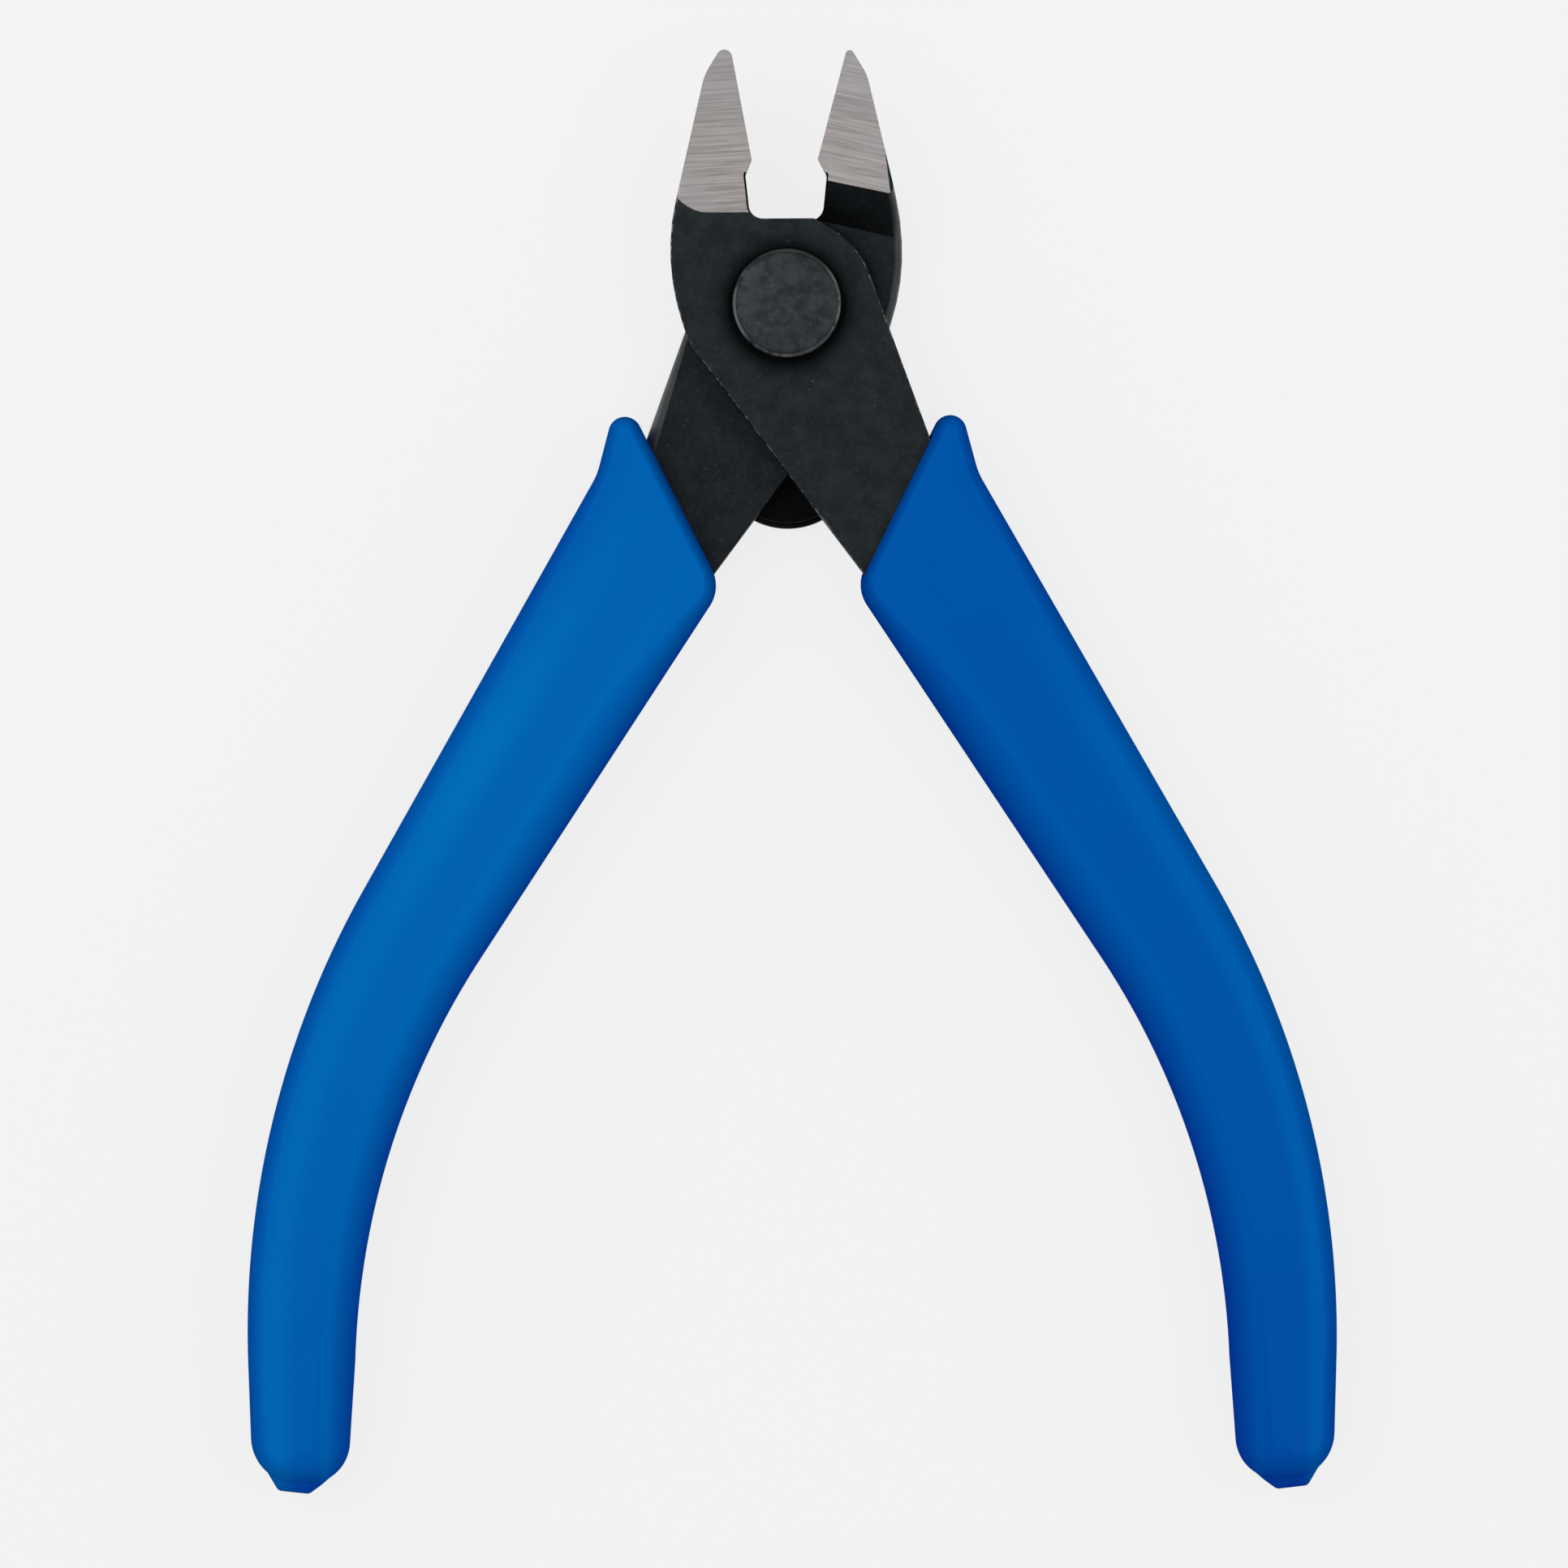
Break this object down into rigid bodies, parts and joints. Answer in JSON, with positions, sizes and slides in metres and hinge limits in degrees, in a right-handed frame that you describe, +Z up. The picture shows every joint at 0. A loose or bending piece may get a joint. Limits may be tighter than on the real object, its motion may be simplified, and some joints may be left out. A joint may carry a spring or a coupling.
{
  "type": "sprue nippers",
  "caption": "Flat side-cutting nippers with ground blades, a riveted lap joint, a torsion return spring and long curved sleeve grips, for snipping plastic parts from their frames.",
  "frame": {"origin": "middle of the opened nippers' footprint, on the table that the grips lie on", "axes": "+Y towards the blades, +Z up along the rivet's axis, +X towards the grip of the front half"},
  "size_m": [0.0948, 0.1244, 0.01],
  "materials": {
    "black_steel": "satin",
    "rivet_steel": "satin",
    "spring_wire": "satin",
    "blue_sleeve": "satin"
  },
  "bodies": {
    "front_lever": {"front_half": "black_steel", "pivot_rivet": "rivet_steel", "right_grip": "blue_sleeve"},
    "rear_lever": {"rear_half": "black_steel", "left_grip": "blue_sleeve", "return_spring": "spring_wire"}
  },
  "joints": [
    {"name": "jaw_pivot", "type": "hinge", "parent": "front_lever", "child": "rear_lever", "pos_m": [0, 0.04016, 0.00555], "axis": [0, 0, 1], "range_deg": [0, 25.4], "stiffness_Nm_per_rad": 0.68, "springref_deg": -20.05, "deforming": ["return_spring"]}
  ]
}
